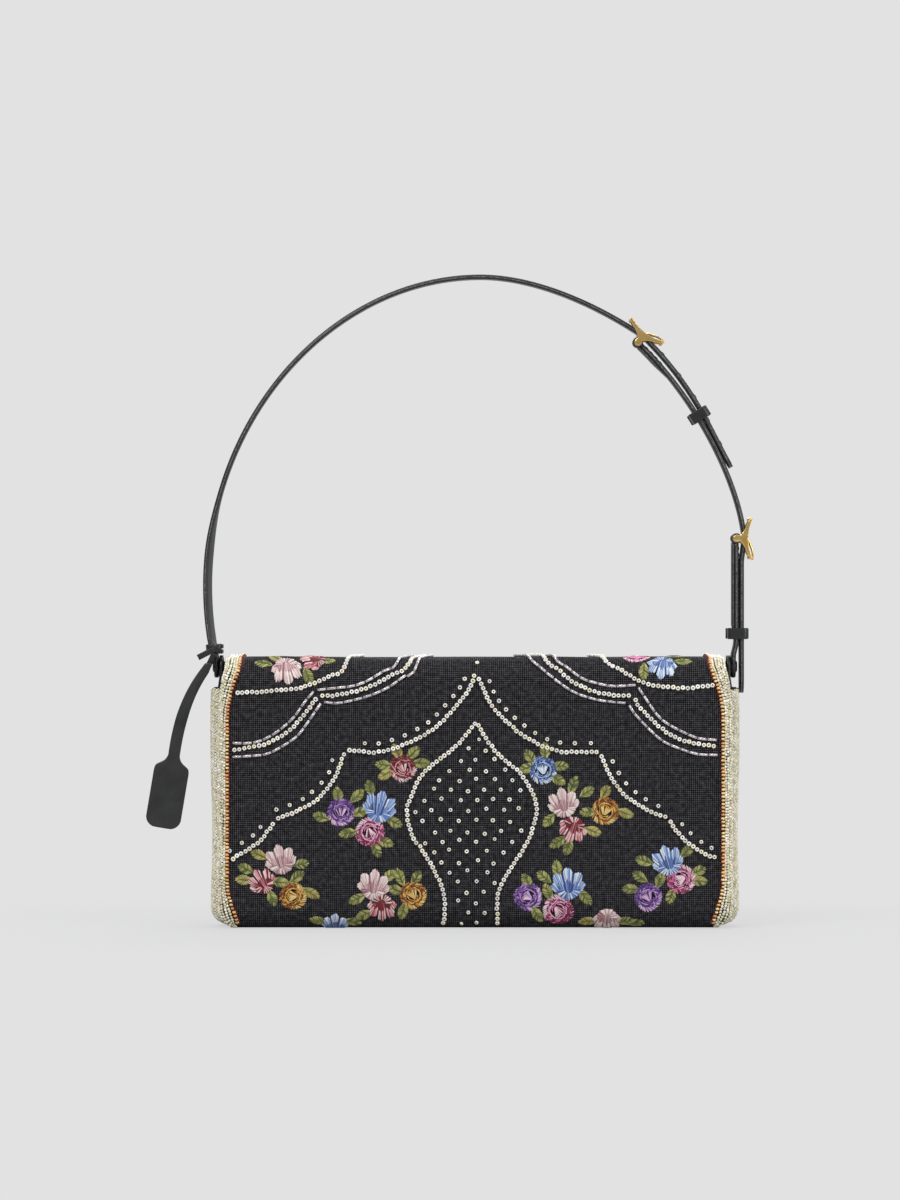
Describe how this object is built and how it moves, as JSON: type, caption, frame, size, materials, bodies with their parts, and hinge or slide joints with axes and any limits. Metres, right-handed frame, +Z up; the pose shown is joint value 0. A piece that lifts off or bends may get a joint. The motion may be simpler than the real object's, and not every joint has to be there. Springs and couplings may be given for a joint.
{
  "type": "baguette bag",
  "caption": "Flat evening bag with a full front flap, beaded side borders and gussets, and an arched leather shoulder strap with buckles, sliding keepers and a hanging luggage tag.",
  "frame": {"origin": "centre of the base's underside, on the floor", "axes": "+Z up, towards the strap; -Y out of the flap's front; +X to the right of someone who looks at the front"},
  "size_m": [0.3226, 0.0533, 0.3462],
  "materials": {
    "canvas": "coarse black woven canvas",
    "beadwork": "ivory glass seed beads sewn in close columns",
    "leather": "smooth black calf leather with painted edges",
    "gold": "polished gold-coloured brass",
    "lining": "dark twill lining",
    "board": "pressed board"
  },
  "bodies": {
    "bag": {"front_panel": "canvas", "back_panel": "canvas", "base_panel": "canvas", "base_board": "board", "left_gusset": "beadwork", "right_gusset": "beadwork", "lining": "lining", "slip_pocket": "lining", "mouth_binding": "leather", "left_tab": "leather", "right_tab": "leather", "left_rivet": "gold", "right_rivet": "gold", "snap_sockets": "gold", "snap_washers": "gold"},
    "flap": {"flap_shell": "canvas", "flap_lining": "lining", "left_border": "beadwork", "right_border": "beadwork", "snap_studs": "gold"},
    "strap": {"long_strap": "leather", "middle_strap": "leather", "short_strap": "leather", "upper_buckle": "gold", "lower_buckle": "gold", "tag_knot": "leather"},
    "upper_prong": {"upper_prong": "gold"},
    "lower_prong": {"lower_prong": "gold"},
    "upper_keeper": {"upper_keeper": "leather"},
    "lower_keeper": {"lower_keeper": "leather"},
    "tag_loop": {"tag_loop": "leather"},
    "tag": {"tag": "leather"}
  },
  "joints": [
    {"name": "flap_hinge", "type": "hinge", "parent": "bag", "child": "flap", "pos_m": [0, 0.022, 0.1415], "axis": [-1, 0, 0], "range_deg": [0, 100]},
    {"name": "strap_swing", "type": "hinge", "parent": "bag", "child": "strap", "pos_m": [0, 0, 0.138], "axis": [-1, 0, 0], "range_deg": [-95, 95]},
    {"name": "upper_prong_lift", "type": "hinge", "parent": "strap", "child": "upper_prong", "pos_m": [0.0866, 0, 0.3102], "axis": [0, -1, 0], "range_deg": [0, 35]},
    {"name": "lower_prong_lift", "type": "hinge", "parent": "strap", "child": "lower_prong", "pos_m": [0.13885, 0, 0.206], "axis": [0, -1, 0], "range_deg": [0, 35]},
    {"name": "upper_keeper_slide", "type": "slide", "parent": "strap", "child": "upper_keeper", "axis": [0.5282, 0, -0.8491], "range_m": [-0.004, 0.004]},
    {"name": "lower_keeper_slide", "type": "slide", "parent": "strap", "child": "lower_keeper", "axis": [0, 0, 1], "range_m": [0, 0.02]},
    {"name": "tag_hang", "type": "hinge", "parent": "strap", "child": "tag_loop", "pos_m": [-0.1414, -0.0112, 0.1388], "axis": [-1, 0, 0], "range_deg": [-95, 95]},
    {"name": "tag_swing", "type": "hinge", "parent": "tag_loop", "child": "tag", "pos_m": [-0.1419, -0.0137, 0.1376], "axis": [0, 1, 0], "range_deg": [-8, 60]}
  ],
  "couplings": [
    {"joint": "tag_hang", "follows": "strap_swing", "ratio": -1}
  ]
}
